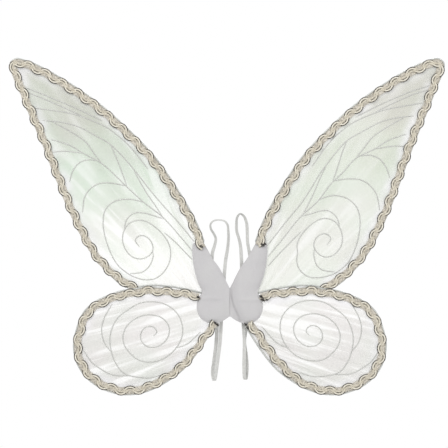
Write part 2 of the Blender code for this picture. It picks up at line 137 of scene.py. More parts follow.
# Glitter lines of one side, in the same form: each is a smooth curve through its points.
UPPER_SCROLLS = [
    [(129, 79.5), (134.7, 88.6), (131, 94), (124, 95.5), (114.7, 90.5), (109.6, 79.5),
     (111, 71.4), (118.4, 65), (127.4, 62.3), (138.4, 65), (147.5, 74), (152.5, 87), (151, 101),
     (144, 112), (133, 117), (120, 116), (107.4, 108.6), (96.6, 98.6), (87.5, 85), (84.2, 70.4),
     (87.5, 54), (96.6, 41), (107.4, 34), (122, 32.6), (134.7, 36), (143.8, 40.5), (160, 54),
     (171, 74), (178.4, 98), (180, 116), (176.6, 132), (165.6, 143), (151, 147),
     (136.5, 146.5), (122, 143)],
    [(109.6, 72), (109.3, 65), (114.7, 52), (123.8, 44), (134.7, 41.8), (142, 41.3)],
    [(150, 106.7), (145.6, 119.6), (134.7, 127.7), (122, 127.7), (105.6, 123), (94.8, 119.6)],
    [(93, 99.5), (78.4, 86.8), (54, 61.4)],
    [(54, 74), (67.5, 90.5), (94.8, 121.4), (122, 143), (145.6, 165), (180, 197.6),
     (207.5, 213), (223.7, 223), (242, 229.4), (252, 232)],
    [(51, 87), (71, 112), (96.6, 141), (114.7, 163), (133, 187), (153, 210.5), (169, 226),
     (189, 237.7), (214.7, 251), (239, 257), (263.6, 259.4)],
    [(114.7, 190), (140, 222), (155, 236), (173, 249.5), (198, 261), (224, 269.5), (245, 273),
     (276.6, 277)],
    [(180, 259), (209, 273.6), (233, 284), (256.5, 293.7), (286, 305.5)],
    [(209, 266.5), (245, 283), (285, 299.5)],
    [(167.4, 225), (156.5, 197.6), (145.6, 166.7)],
    [(134.7, 187), (118.4, 157.7), (104, 136), (94.8, 121.4)],
    [(249.5, 257), (227, 245), (203, 228.7), (191, 212), (182, 200)],
    [(226.6, 172), (222, 187), (213, 198.6), (200, 203.5), (189, 202)],
    [(209, 128.7), (205.6, 150.5), (196.5, 163), (184, 169.6), (169, 170.4), (145.6, 166)],
    [(252, 214), (233, 215.6), (207, 212.8)],
]
LOWER_SCROLLS = [
    [(108.7, -47.5), (104, -42), (107, -36), (113.4, -33.6), (121, -36), (126.5, -43.6),
     (126.5, -53), (119.6, -61.4), (108.7, -63.7), (98, -60), (88.6, -50), (86, -39),
     (88.6, -30), (98, -21), (112, -17.4), (125.7, -19), (138, -25), (147, -34), (152, -46.7),
     (150, -60.6), (141, -73), (129, -82), (113.4, -84.6), (95, -80), (79.4, -68), (70, -54),
     (67, -39), (71.7, -20.5), (82.5, -8), (96, -1), (113.4, 1.4), (129, -1), (144.4, -9.7),
     (159.7, -22), (167.4, -36), (170.6, -51), (169, -67), (163, -85), (150.5, -100.7),
     (132, -106), (113.4, -107), (95, -102)],
    [(167.4, -2), (178, -20.5), (182.4, -39), (178, -57.6), (168, -71)],
    [(207.6, -68), (197, -84), (181, -96), (166, -103), (141, -104)],
    [(78, -65), (61, -59), (42, -42)],
]

# The right side was decorated by hand too: (x, z) on the left and the shift from there.
UPPER_RIGHT_SHIFTS = [
    (54, 62, 0, -10), (54, 74, 0, -9), (84.2, 70.4, 13, 2), (109.6, 71, 11, 4),
    (51, 87, 1, -7.5), (129, 79.5, 9.9, 3.1), (122, 32.6, 7, 3.2), (180, 116, 5.9, 1.6),
    (94.8, 121.4, 9.5, 3.8), (145.6, 166.7, 2.7, 7.6), (182, 200, 0, 7), (252, 214, 0, 8),
    (276.6, 277, 0, 7), (286, 305, 0, 3),
]
LOWER_RIGHT_SHIFTS = [
    (42, -42, 3, 8), (78, -65, 6, 0), (110, -45, 4.5, 1), (170, -51, 5, 1), (95, -102, 5, 2),
]

# Straps: (x, y, z) in millimetres, and how far the face turns from the front. The loops hang
# 2 or 3 mm lower than the CAD's.
STRAPS = {
    "left": [
        (-25.5, 4.9, 53, 0), (-25.5, 4.9, 62, 0), (-24.5, 5.2, 72, 15), (-21.5, 5.8, 82, 30),
        (-20, 6.2, 91, 42), (-22.8, 6.6, 98, 48), (-27, 6.8, 105, 50), (-27.3, 7, 112, 55),
        (-22.5, 7, 116.6, 60), (-15, 7, 117.6, 66), (-7.5, 7, 116, 60), (-3.4, 6.8, 111, 50),
        (-2.3, 6.6, 103, 46), (-1.9, 6.3, 92, 40), (-3.2, 5.9, 77, 28), (-6, 5.4, 60, 12),
        (-7.7, 4.9, 42, 0), (-9, 4.9, 20, 0), (-10.5, 4.9, 0, 0), (-12, 4.9, -18, 0),
        (-12.4, 5, -32, 0), (-14.3, 5.6, -60, 0), (-17.2, 6.1, -82, 0), (-19.8, 6.4, -101, 0),
        (-21.2, 7, -108.5, 0), (-22.2, 9.4, -112, 0), (-23.6, 11.8, -108.5, 0),
        (-24.6, 12.2, -101, 0), (-22.4, 10.8, -82, 0), (-19.7, 8.6, -60, 0), (-18.2, 5.6, -34, 0),
        (-18, 4.9, -26, 0), (-18, 4.9, -18, 0),
    ],
    "right": [
        (29.5, 4.9, 53, 0), (29, 4.9, 64, 10), (27.2, 5.2, 75, 25), (25.3, 5.8, 87, 32),
        (25, 6.2, 100, 25), (24, 6.6, 113, 30), (20.5, 6.9, 122.5, 45), (15, 7, 126.5, 58),
        (10.8, 7, 122, 50), (9.5, 6.8, 113, 40), (10, 6.5, 101, 35), (13, 6.1, 91, 35),
        (15.3, 5.7, 80, 25), (16.4, 5.2, 64, 5), (17, 4.9, 50, 0), (17.5, 4.9, 25, 0),
        (18, 4.9, 0, 0), (18.6, 4.9, -20, 0), (19.6, 5.1, -36, 0), (20.9, 5.6, -56, 0),
        (20.6, 6.2, -75, 0), (20.3, 6.6, -90, 0), (21, 7, -106.5, 0), (22.2, 9.4, -110.5, 0),
        (23.6, 11.9, -106.5, 0), (24.6, 12.2, -90, 0), (23.2, 11, -75, 0), (20.9, 9, -56, 0),
        (23.4, 6, -36, 0), (24.4, 4.9, -26, 0), (24.4, 4.9, -18, 0),
    ],
}
STRAP_TACKS = {
    "left": {"top": (-25.5, 57, 5.8), "bottom": (-15.0, -22, 12.0)},
    "right": {"top": (29.3, 57, 5.8), "bottom": (21.5, -22, 12.0)},
}
# Thread knots at the braid's ends: (x, z, size) of each tangle.
KNOT_SPOTS = {
    "left": {"top": [(40.7, 80.0, 1.5)], "side": [(45.0, 7.8, 1.4)],
             "bottom": [(21.0, -28.5, 1.1), (17.4, -31.5, 1.4)]},
    "right": {"top": [(46.6, 82.3, 1.7), (50.0, 83.8, 1.0)],
              "side": [(44.4, 8.6, 1.6), (47.0, 3.8, 1.6), (52.6, 4.0, 0.8)],
              "bottom": [(22.6, -31.0, 1.3), (25.6, -36.0, 1.1)]},
}

# Where the right pad's plump edge starts: (height, distance from the seam) in millimetres.
PAD_FOLD = [(-29, 14.5), (-27, 13.9), (-19.4, 12), (-13.7, 9.1), (-5, 5.3), (5.4, 2.4),
            (20.7, 1.2), (30, 1.2)]
# Where wires come in under the felt: (distance from the seam, height) in millimetres.
WIRE_ENTRIES = [(38.5, 84), (41, 13), (44.5, 9.5), (18.5, -29)]

# ---------------------------------------------------------------- stage
FIELD_WIDTH = 638.4 * MM         # width of the camera's view at the wings
CAMERA_DISTANCE = 2.4
CAMERA_X, CAMERA_Z = -0.0083, 0.1119
SENSOR_MM = 36.0
FLOOR_SIZE, FLOOR_AT = 1.6, (0, 0.1, -0.42)
AMBIENT = 0.62                   # the white background's light on the object
LIGHT_AIM = (0, 0, 0.1)
LIGHTS = [                       # name, place, width and height in metres, watts
    ("key", (-0.9, -1.5, 1.5), (0.9, 0.9), 26),
    ("fill", (1.4, -1.3, 0.6), (1.0, 1.0), 9),
    ("behind", (0.6, 1.6, 1.2), (1.2, 0.8), 16),
]


# ---------------------------------------------------------------- curves and fields
def smooth(points, step, scale=MM):
    """A centripetal Catmull-Rom curve through points, cut to equal steps. Returns an array."""
    p = np.array(points, float) * scale
    p = np.vstack([2 * p[0] - p[1], p, 2 * p[-1] - p[-2]])
    gaps = np.sqrt(np.linalg.norm(p[1:] - p[:-1], axis=1))
    t = np.concatenate([[0], np.cumsum(gaps)])
    rows = []
    for i in range(1, len(p) - 2):
        t0, t1, t2, t3 = t[i - 1:i + 3]
        u = np.linspace(t1, t2, 24, endpoint=False)[:, None]
        a1 = p[i - 1] + (p[i] - p[i - 1]) * (u - t0) / (t1 - t0)
        a2 = p[i] + (p[i + 1] - p[i]) * (u - t1) / (t2 - t1)
        a3 = p[i + 1] + (p[i + 2] - p[i + 1]) * (u - t2) / (t3 - t2)
        b1 = a1 + (a2 - a1) * (u - t0) / (t2 - t0)
        b2 = a2 + (a3 - a2) * (u - t1) / (t3 - t1)
        rows.append(b1 + (b2 - b1) * (u - t1) / (t2 - t1))
    rows.append(p[-2:-1])
    return resample(np.vstack(rows), step)


def lengths(curve):
    """Distance along a curve at each point."""
    return np.concatenate([[0], np.cumsum(np.linalg.norm(curve[1:] - curve[:-1], axis=1))])


def read(curve, s, at):
    """A curve's rows at distances along it."""
    return np.column_stack([np.interp(at, s, column) for column in curve.T])


def resample(curve, step):
    """A curve cut to equal steps."""
    s = lengths(curve)
    return read(curve, s, np.linspace(0, s[-1], max(2, int(round(s[-1] / step)) + 1)))


def unit(rows):
    """Rows scaled to length 1."""
    return rows / np.linalg.norm(rows, axis=1)[:, None]


def inward(curve):
    """Unit normals to the inner side of a clockwise curve."""
    run = np.gradient(curve, axis=0)
    return unit(np.column_stack([run[:, 1], -run[:, 0]]))


def gap_to(points, curve):
    """Distance from each point to a polyline."""
    a, run = curve[:-1], curve[1:] - curve[:-1]
    square = (run ** 2).sum(1)
    best = np.full(len(points), np.inf)
    for k in range(0, len(points), 500):
        d = points[k:k + 500, None] - a[None]
        share = np.clip((d * run).sum(2) / square, 0, 1)
        off = d - share[..., None] * run
        best[k:k + 500] = np.sqrt((off ** 2).sum(2)).min(1)
    return best


def inset(curve, distance):
    """A clockwise curve moved inwards, without the loops that a tight turn makes."""
    moved = curve + inward(curve) * distance
    return moved[gap_to(moved, curve) > abs(distance) - 0.05 * MM]


def inside(points, outline):
    """Whether each point is inside a closed outline."""
    a, b = outline, np.roll(outline, -1, axis=0)
    x, z = points[:, 0, None], points[:, 1, None]
    spans = (a[:, 1] > z) != (b[:, 1] > z)
    rise = np.where(b[:, 1] == a[:, 1], 1, b[:, 1] - a[:, 1])
    cross = a[:, 0] + (z - a[:, 1]) * (b[:, 0] - a[:, 0]) / rise
    return (spans & (x < cross)).sum(1) % 2 == 1


def bow(x):
    """How far the wing leans towards the decorated face."""
    share = np.maximum(0, (np.abs(x) - BOW_START) / (BOW_END - BOW_START))
    return -BOW_DEPTH * share ** 2


def place(flat, depth, side):
    """Points of a wing's plane in the row frame, on one side."""
    x = side * flat[:, 0] - LEAN * np.maximum(0, flat[:, 1] - LEAN_START)
    return np.column_stack([x, depth + bow(flat[:, 0]), flat[:, 1]])


def ease(value, low, high):
    """A smooth step from 0 to 1."""
    t = np.clip((value - low) / (high - low), 0, 1)
    return t * t * (3 - 2 * t)


# ---------------------------------------------------------------- meshes
def ring_faces(n, sides):
    """The quads between n rings of points, and a cap at each end."""
    faces = [(i * sides + k, i * sides + (k + 1) % sides,
              (i + 1) * sides + (k + 1) % sides, (i + 1) * sides + k)
             for i in range(n - 1) for k in range(sides)]
    last = (n - 1) * sides
    return faces + [tuple(range(sides - 1, -1, -1)), tuple(last + k for k in range(sides))]


class Shape:
    """Vertices and faces gathered into one mesh."""

    def __init__(self):
        self.vertices, self.faces, self.values, self.count = [], [], [], 0

    def add(self, vertices, faces, values=None):
        self.vertices.append(np.asarray(vertices, float))
        self.faces += [tuple(int(i) + self.count for i in f) for f in faces]
        self.values.append(np.zeros(len(vertices)) if values is None else values)
        self.count += len(vertices)

    def tube(self, path, radius, sides, flatten=1.0, values=None):
        """A round or flattened tube along a path, its flat side facing Y."""
        run = unit(np.gradient(path, axis=0))
        across = np.cross(run, (0.0, 1.0, 0.0))
        across /= np.maximum(np.linalg.norm(across, axis=1), 1e-9)[:, None]
        out = np.cross(run, across)
        radius = np.broadcast_to(radius, len(path))[:, None, None]
        angle = np.linspace(0, 2 * math.pi, sides, endpoint=False)[None, :, None]
        ring = path[:, None] + radius * (
            np.cos(angle) * across[:, None] + flatten * np.sin(angle) * out[:, None])
        tone = None if values is None else np.repeat(values, sides)
        self.add(ring.reshape(-1, 3), ring_faces(len(path), sides), tone)

    def build(self, name, material, angle=60, attribute=None):
        mesh = bpy.data.meshes.new(name)
        mesh.from_pydata(np.vstack(self.vertices).tolist(), [], self.faces)
        if attribute:
            layer = mesh.attributes.new(attribute, "FLOAT", "POINT")
            layer.data.foreach_set("value", np.concatenate(self.values).astype(np.float32))
        bm = bmesh.new()
        bm.from_mesh(mesh)
        bmesh.ops.recalc_face_normals(bm, faces=bm.faces[:])
        bm.to_mesh(mesh)
        bm.free()
        mesh.shade_smooth()
        mesh.set_sharp_from_angle(angle=math.radians(angle))
        mesh.materials.append(material)
        obj = bpy.data.objects.new(name, mesh)
        bpy.context.scene.collection.objects.link(obj)
        return obj


def lattice(outline, spacing, margin):
    """Staggered points inside an outline."""
    low, high = outline.min(0), outline.max(0)
    columns = np.arange(low[0], high[0], spacing * math.sqrt(3) / 2)
    points = []
    for i, x in enumerate(columns):
        z = np.arange(low[1] + (i % 2) * spacing / 2, high[1], spacing)
        points.append(np.column_stack([np.full(len(z), x), z]))
    points = np.vstack(points)
    points = points[inside(points, outline)]
    return points[gap_to(points, np.vstack([outline, outline[:1]])) > margin]


def skin(outline, spacing):
    """Points and triangles that fill an outline."""
    points = np.vstack([outline, lattice(outline, spacing, spacing * 0.45)])
    vertices, _, faces, _, _, _ = delaunay_2d_cdt(
        [Vector(p) for p in points], [], [list(range(len(outline)))], 1, 1e-7)
    return np.array([tuple(v) for v in vertices]), [tuple(f) for f in faces]


def solid(shape, near, far, faces, values=None):
    """Close two matching surfaces into a solid by a wall round their open edges."""
    n = len(near)
    edges = dict.fromkeys((a, b) for f in faces for a, b in zip(f, f[1:] + f[:1]))
    rim = [(a, b) for a, b in edges if (b, a) not in edges]
    walls = [(b, a, a + n, b + n) for a, b in rim]
    back = [tuple(i + n for i in reversed(f)) for f in faces]
    shape.add(np.vstack([near, far]), list(faces) + back + walls, values)


# ---------------------------------------------------------------- materials
class Look:
    """A Principled material and the nodes that feed it."""

    def __init__(self, name, color, roughness, metallic=0.0):
        self.material = bpy.data.materials.new(name)
        self.material.use_nodes = True
        self.tree = self.material.node_tree
        self.shader = self.tree.nodes["Principled BSDF"]
        self.set("Base Color", (*color, 1.0))
        self.set("Roughness", roughness)
        self.set("Metallic", metallic)
        self.coordinates = self.tree.nodes.new("ShaderNodeTexCoord").outputs["Object"]

    def set(self, socket, value):
        self.shader.inputs[socket].default_value = value

    def feed(self, socket, output):
        self.tree.links.new(output, self.shader.inputs[socket])

    def plug(self, value, socket):
        """Give a socket a value, or another node's output."""
        if isinstance(value, bpy.types.NodeSocket):
            self.tree.links.new(value, socket)
        else:
            socket.default_value = value

    def node(self, kind, **values):
        """A node with its properties and its inputs set. An input may be another's output."""
        node = self.tree.nodes.new(kind)
        for key, value in values.items():
            if hasattr(node, key) and key not in node.inputs:
                setattr(node, key, value)
                continue
            socket = node.inputs[int(key[1:]) if key[0] == "i" and key[1:].isdigit() else key]
            self.plug(value, socket)
        return node

    def scaled(self, scale):
        """Object coordinates stretched by a different amount along each axis."""
        return self.node(
            "ShaderNodeMapping", Vector=self.coordinates, Scale=scale).outputs["Vector"]

    def noise(self, scale, detail=3.0, vector=None):
        return self.node("ShaderNodeTexNoise", Vector=vector or self.coordinates, Scale=scale,
                         Detail=detail).outputs["Fac"]

    def ramp(self, factor, stops):
        """A colour ramp from (place, colour) stops."""
        node = self.node("ShaderNodeValToRGB", Fac=factor)
        elements = node.color_ramp.elements
        while len(elements) < len(stops):
            elements.new(0.5)
        for element, (at, color) in zip(elements, stops):
            element.position = at
            element.color = (*color, 1.0)
        return node.outputs["Color"]

    def mix(self, factor, a, b, mode="MIX"):
        """Two colours mixed."""
        node = self.node("ShaderNodeMix", data_type="RGBA", blend_type=mode)
        for value, index in ((factor, 0), (a, 6), (b, 7)):
            self.plug(value, node.inputs[index])
        return node.outputs[2]

    def math(self, operation, a, b=0.0, clamp=False):
        node = self.node("ShaderNodeMath", operation=operation, use_clamp=clamp)
        self.plug(a, node.inputs[0])
        self.plug(b, node.inputs[1])
        return node.outputs[0]

    def span(self, value, low, high, to_low, to_high):
        """A value moved from one range to another."""
        return self.node(
            "ShaderNodeMapRange", Value=value, i1=low, i2=high, i3=to_low, i4=to_high
        ).outputs["Result"]

    def tone(self):
        """The tone carried by the mesh's points."""
        return self.node("ShaderNodeAttribute", attribute_name="tone").outputs["Fac"]

    def two_tone(self, factor, low, dark, high, light):
        """A base colour that goes from dark to light with a factor."""
        self.feed("Base Color", self.ramp(factor, [(low, dark), (high, light)]))

    def bump(self, height, strength, distance):
        node = self.node("ShaderNodeBump", Height=height, Strength=strength, Distance=distance)
        self.feed("Normal", node.outputs["Normal"])


def streaks(look, pole, side, fine, long, detail):
    """Streaks that fan out from a pole, as tight film wrinkles from where it is held."""
    split = look.node("ShaderNodeSeparateXYZ", Vector=look.coordinates)
    x = look.math("SUBTRACT", look.math("MULTIPLY", split.outputs["X"], float(side)), pole[0])
    z = look.math("SUBTRACT", split.outputs["Z"], pole[1])
    turn = look.math("ARCTAN2", z, x)
    away = look.math("POWER", look.math("ADD", look.math("MULTIPLY", x, x),
                                        look.math("MULTIPLY", z, z)), 0.5)
    fan = look.node("ShaderNodeCombineXYZ", X=look.math("MULTIPLY", turn, fine),
                    Y=look.math("MULTIPLY", away, long), Z=fine + side)
    return look.noise(1.0, detail, fan.outputs["Vector"])


def film_look(name, side, stops, heights, alpha, pole, fine, strength):
    """Clear tinted film: its tint changes with height. Soft streaks are painted in as shade and
    highlight, a pale painted reflection lies towards the wing's edge, and its coat gives a soft
    sheen.
    """
    look = Look(name, stops[0][1], 0.12)
    split = look.node("ShaderNodeSeparateXYZ", Vector=look.coordinates)
    climb = look.span(split.outputs["Z"], heights[0], heights[1], 0.0, 1.0)
    climb = look.math("ADD", climb, look.span(look.noise(9.0, 2.0), 0.3, 0.7, -0.12, 0.12),
                      clamp=True)
    tint = look.ramp(climb, stops)
    hue = look.ramp(look.noise(16.0, 1.0), [
        (0.36, (0.98, 0.93, 0.97)), (0.5, (1.0, 1.0, 1.0)), (0.66, (0.93, 0.99, 0.96))])
    tint = look.mix(0.5, tint, hue, "MULTIPLY")
    broad = streaks(look, pole, side, fine, 7.0, 1.0)
    thin = streaks(look, pole, side, fine * 2.3, 11.0, 2.0)
    calm = look.span(split.outputs["Z"], 0.09, 0.22, strength, 0.22 * strength)
    # Painted shade: the tint darkened along the broad streaks' dark bands, as wrinkles would
    # shade it.
    shade = look.math("SUBTRACT", 1.0, look.math("MULTIPLY", calm,
                                                 look.span(broad, 0.34, 0.5, 0.06, 0.0)))
    grey = look.node("ShaderNodeCombineXYZ", X=shade, Y=shade, Z=shade).outputs["Vector"]
    tint = look.mix(1.0, tint, grey, "MULTIPLY")
    # Painted highlights: near-white along the brightest streaks, weaker higher up.
    painted_highlight = look.math("MAXIMUM", look.span(broad, 0.54, 0.64, 0.0, 0.75),
                      look.span(thin, 0.60, 0.68, 0.0, 0.55))
    painted_highlight = look.math("MULTIPLY", painted_highlight, calm)
    # Painted reflection: a pale lilac band towards the wing's edge, masked by the tone attribute.
    rim = look.math("MULTIPLY", look.tone(),
                    look.span(look.noise(22.0, 2.0), 0.4, 0.6, 0.15, 0.75))
    tint = look.mix(rim, tint, (0.84, 0.83, 0.86, 1.0))
    look.feed("Base Color", look.mix(painted_highlight, tint, (1.0, 1.0, 0.99, 1.0)))
    look.feed("Alpha", look.math("ADD", look.span(climb, 0.0, 1.0, alpha[0], alpha[1]),
                                 look.span(broad, 0.35, 0.65, 0.06, -0.06)))
    look.feed("Roughness", look.span(look.noise(40.0, 2.0), 0.3, 0.7, 0.10, 0.22))
    look.bump(broad, 0.2, 0.6 * MM)
    look.set("IOR", 1.45)
    look.set("Coat Weight", 0.25)
    look.set("Coat Roughness", 0.08)
    return look.material


# Film colours at rising heights, and on each upper film the strength of its streaks. Near the top
# the right film is painted lighter than the left: painted light, making up for the key lamp on
# the left.
UPPER_TINTS = {
    "left": ([(0.0, (0.93, 0.94, 0.89)), (0.28, (0.74, 0.78, 0.69)), (0.50, (0.55, 0.66, 0.52)),
              (0.76, (0.49, 0.52, 0.42)), (1.0, (0.46, 0.465, 0.375))], 1.0),
    "right": ([(0.0, (0.76, 0.78, 0.70)), (0.28, (0.69, 0.72, 0.63)), (0.50, (0.60, 0.66, 0.53)),
               (0.76, (0.55, 0.57, 0.46)), (1.0, (0.53, 0.53, 0.45))], 0.45),
}
LOWER_TINTS = [(0.0, (0.69, 0.69, 0.64)), (0.4, (0.68, 0.67, 0.63)), (1.0, (0.79, 0.77, 0.74))]


def thread_look(name, color, roughness, scale, dark, light, strength):
    """Thread, mottled between two tones."""
    look = Look(name, color, roughness)
    fuzz = look.noise(scale)
    look.two_tone(fuzz, 0.3, dark, 0.7, light)
    look.bump(fuzz, strength, 0.1 * MM)
    return look.material


def make_looks():
    """Every material, by what it covers."""
    looks = {}
    steel = Look("steel_wire_look", (0.50, 0.50, 0.50), 0.32, 1.0)
    drawn = steel.noise(900.0, 2.0)
    steel.two_tone(drawn, 0.3, (0.36, 0.36, 0.36), 0.7, (0.56, 0.56, 0.55))
    steel.feed("Roughness", steel.span(drawn, 0.3, 0.7, 0.26, 0.42))
    steel.bump(drawn, 0.15, 0.05 * MM)
    looks["wire"] = steel.material

    sleeve = Look("crimp_sleeve_look", (0.70, 0.70, 0.71), 0.4, 1.0)
    worn = sleeve.noise(700.0)
    sleeve.feed("Roughness", sleeve.span(worn, 0.3, 0.7, 0.3, 0.5))
    sleeve.two_tone(worn, 0.3, (0.6, 0.6, 0.61), 0.7, (0.75, 0.75, 0.76))
    looks["ferrule"] = sleeve.material

    for label, side in (("left", -1), ("right", 1)):
        stops, strength = UPPER_TINTS[label]
        looks[f"{label}_upper_film"] = film_look(
            f"{label}_tinted_film_look", side, stops,
            (0.03, 0.34), (0.36, 0.46), (0.0, -0.05), 17.0, strength)
        looks[f"{label}_lower_film"] = film_look(
            f"{label}_clear_film_look", side, LOWER_TINTS,
            (-0.13, 0.02), (0.42, 0.36), (-0.4, 0.10), 62.0, 0.85)

    hem = Look("film_hem_look", (0.62, 0.63, 0.60), 0.25)
    hem.feed("Alpha", hem.span(hem.noise(500.0), 0.3, 0.7, 0.62, 0.85))
    hem.bump(hem.noise(900.0, 2.0), 0.3, 0.1 * MM)
    looks["hem"] = hem.material

    glitter = Look("glitter_line_look", (0.50, 0.50, 0.47), 0.35, 0.25)
    specks = glitter.node("ShaderNodeTexVoronoi", Vector=glitter.coordinates, Scale=2600.0)
    glitter.two_tone(specks.outputs["Color"], 0.2, (0.38, 0.38, 0.36), 0.8, (0.66, 0.66, 0.63))
    glitter.feed("Roughness", glitter.span(specks.outputs["Distance"], 0.0, 0.6, 0.2, 0.6))
    glitter.bump(specks.outputs["Distance"], 0.6, 0.1 * MM)
    looks["glitter"] = glitter.material

    ribbon = Look("gimp_ribbon_look", (0.66, 0.63, 0.59), 0.9)
    mottle = ribbon.noise(300.0, 4.0)
    weft = ribbon.node("ShaderNodeTexWave", Vector=ribbon.coordinates, Scale=320.0,
                       Distortion=3.0, Detail=2.0).outputs["Fac"]
    cream = ribbon.ramp(mottle, [(0.28, (0.41, 0.38, 0.31)), (0.5, (0.57, 0.53, 0.45)),
                                 (0.72, (0.71, 0.67, 0.59))])
    ribbon.feed("Base Color", ribbon.mix(ribbon.span(weft, 0.0, 1.0, 0.0, 0.3), cream,
                                         (0.56, 0.51, 0.45, 1.0)))
    net = ribbon.span(mottle, 0.4, 0.62, -0.25, 0.20)
    ribbon.feed("Alpha", ribbon.math("ADD", ribbon.span(ribbon.tone(), 0.0, 0.35, 0.34, 0.86),
                                     net, clamp=True))
    ribbon.bump(ribbon.math("ADD", weft, mottle), 0.7, 0.25 * MM)
    ribbon.set("Sheen Weight", 0.2)
    looks["ribbon"] = ribbon.material

    cord = Look("gimp_cord_look", (0.60, 0.56, 0.48), 0.6)
    twist = cord.noise(1000.0, 3.0)
    blend = cord.math("ADD", cord.tone(), cord.span(twist, 0.3, 0.7, -0.12, 0.12), clamp=True)
    cord.feed("Base Color", cord.ramp(blend, [
        (0.0, (0.050, 0.045, 0.038)), (0.22, (0.19, 0.175, 0.15)), (0.42, (0.45, 0.41, 0.325)),
        (0.62, (0.60, 0.555, 0.455)), (1.0, (0.86, 0.83, 0.74))]))
    cord.feed("Metallic", cord.span(blend, 0.0, 0.3, 0.55, 0.0))
    cord.feed("Roughness", cord.span(blend, 0.0, 0.4, 0.4, 0.7))
    cord.bump(twist, 0.6, 0.15 * MM)
    looks["cord"] = cord.material

    felt = Look("lavender_felt_look", (0.51, 0.50, 0.51), 0.95)
    fibre = felt.noise(700.0, 4.0, felt.scaled((1.0, 1.0, 0.6)))
    shade = felt.noise(30.0, 3.0)
    base = felt.ramp(shade, [(0.3, (0.490, 0.482, 0.488)), (0.5, (0.515, 0.505, 0.510)),
                             (0.7, (0.525, 0.520, 0.515))])
    # The tone attribute darkens the felt towards dark grey: painted shade in its folds and along
    # its edges.
    base = felt.mix(felt.tone(), base, (0.30, 0.29, 0.30, 1.0))
    felt.feed("Base Color", felt.mix(felt.span(fibre, 0.3, 0.7, 0.0, 0.2), base,
                                     (0.60, 0.59, 0.605, 1.0)))
    felt.bump(fibre, 0.45, 0.2 * MM)
    felt.set("Sheen Weight", 0.2)
    looks["felt"] = felt.material

    elastic = Look("white_elastic_look", (0.54, 0.54, 0.52), 0.8)
    yarn = elastic.node("ShaderNodeTexWave", Vector=elastic.coordinates, Scale=420.0,
                        bands_direction="Z", Distortion=1.5).outputs["Fac"]
    soft = elastic.noise(300.0)
    elastic.feed("Base Color", elastic.mix(
        elastic.span(yarn, 0.0, 1.0, 0.0, 0.35),
        elastic.ramp(soft, [(0.3, (0.49, 0.49, 0.475)), (0.7, (0.59, 0.59, 0.57))]),
        (0.66, 0.66, 0.64, 1.0)))
    elastic.bump(yarn, 0.4, 0.12 * MM)
    looks["elastic"] = elastic.material

    looks["dark_thread"] = thread_look("dark_thread_look", (0.05, 0.045, 0.04), 0.75, 1500.0,
                                       (0.02, 0.018, 0.016), (0.075, 0.068, 0.06), 0.6)
    looks["white_thread"] = thread_look("white_thread_look", (0.78, 0.78, 0.77), 0.8, 1200.0,
                                        (0.66, 0.66, 0.65), (0.84, 0.84, 0.83), 0.5)
    return looks


# ---------------------------------------------------------------- film and its lines
RIPPLES = ((7, 0.50, 0.3), (13, 0.35, 1.7), (23, 0.28, 2.9), (37, 0.16, 4.1))


def ripple(flat, pole, height):
    """The film's height above its plane: shallow folds that fan out from a pole."""
    d = flat - np.array(pole)
    turn, away = np.arctan2(d[:, 1], d[:, 0]), np.linalg.norm(d, axis=1)
    total = np.zeros(len(flat))
    for count, share, start in RIPPLES:
        total += share * np.sin(count * turn + start + 2.2 * np.sin(away / 0.055 + start))
    return height * total * ease(away, 0.02, 0.12)


class Wing:
    """The plane shapes of one wing and how its film lies."""

    def __init__(self, name, edge, rest, root, depth, pole, height):
        self.name, self.depth, self.pole, self.height = name, depth, pole, height
        self.edge = smooth(edge, CURVE_STEP)
        self.loop = smooth(edge + rest, CURVE_STEP)
        self.wire = inset(self.loop, WIRE_INSET)
        outline = np.vstack([self.wire, smooth(root, 4.0 * MM)])
        apart = np.linalg.norm(outline[1:] - outline[:-1], axis=1) > 0.5 * MM
        self.outline = outline[np.r_[True, apart]]

    def film_depth(self, flat):
        """The film's depth at points of the wing's plane."""
        calm = ease(gap_to(flat, self.wire), 0.0, 18 * MM)
        return self.depth + ripple(flat, self.pole, self.height) * calm


def make_film(wing, label, side, looks):
    """The film inside the loop, and its sleeve round the wire."""
    coarse = resample(wing.outline, 3.0 * MM)
    flat, faces = skin(coarse, FILM_SPACING)
    depth = wing.film_depth(flat)
    shape = Shape()
    # Mask for the film's painted pale reflection near the wing's edge, stored as tone.
    rim = 1 - ease(gap_to(flat, wing.edge), 12 * MM, 25 * MM)
    solid(shape, place(flat, depth - FILM_THICKNESS / 2, side),
          place(flat, depth + FILM_THICKNESS / 2, side), faces, np.tile(rim, 2))
    film = shape.build(f"{label}_{wing.name}_film_skin", looks[f"{label}_{wing.name}_film"],
                       180, "tone")
    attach(film, label)
    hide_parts(f"{label}_{wing.name}_film")

    sleeve = Shape()
    crimps = 1 + 0.05 * np.sin(np.arange(len(wing.wire)) * 1.7)
    sleeve.tube(place(wing.wire, wing.depth, side), HEM_RADIUS * crimps, 10)
    hem = sleeve.build(f"{label}_{wing.name}_film_hem", looks["hem"])
    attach(hem, label)


def shifted(points, shifts):
    """Points moved by nearby shifts, the nearest counting most."""
    at, move = np.array(shifts)[:, :2], np.array(shifts)[:, 2:]
    weight = 1 / (np.linalg.norm(points[:, None] / MM - at[None], axis=2) ** 2 + 20)
    weight /= weight.sum(1)[:, None]
    return points + weight @ move * MM


def make_scrolls(wing, lines, shifts, label, side, looks):
    """The glitter lines drawn on the film's decorated face."""
    shape = Shape()
    for line in lines:
        flat = smooth(line, CURVE_STEP)
        if shifts:
            flat = shifted(flat, shifts)
        depth = wing.film_depth(flat) - FILM_THICKNESS / 2 - SCROLL_GAP
        s = lengths(flat)
        width = SCROLL_RADIUS * (0.6 + 0.4 * ease(np.minimum(s, s[-1] - s), 0.0, 8 * MM))
        shape.tube(place(flat, depth, side), width, 6, 0.5)
    piece = shape.build(f"{label}_{wing.name}_scrolls", looks["glitter"])
    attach(piece, label)


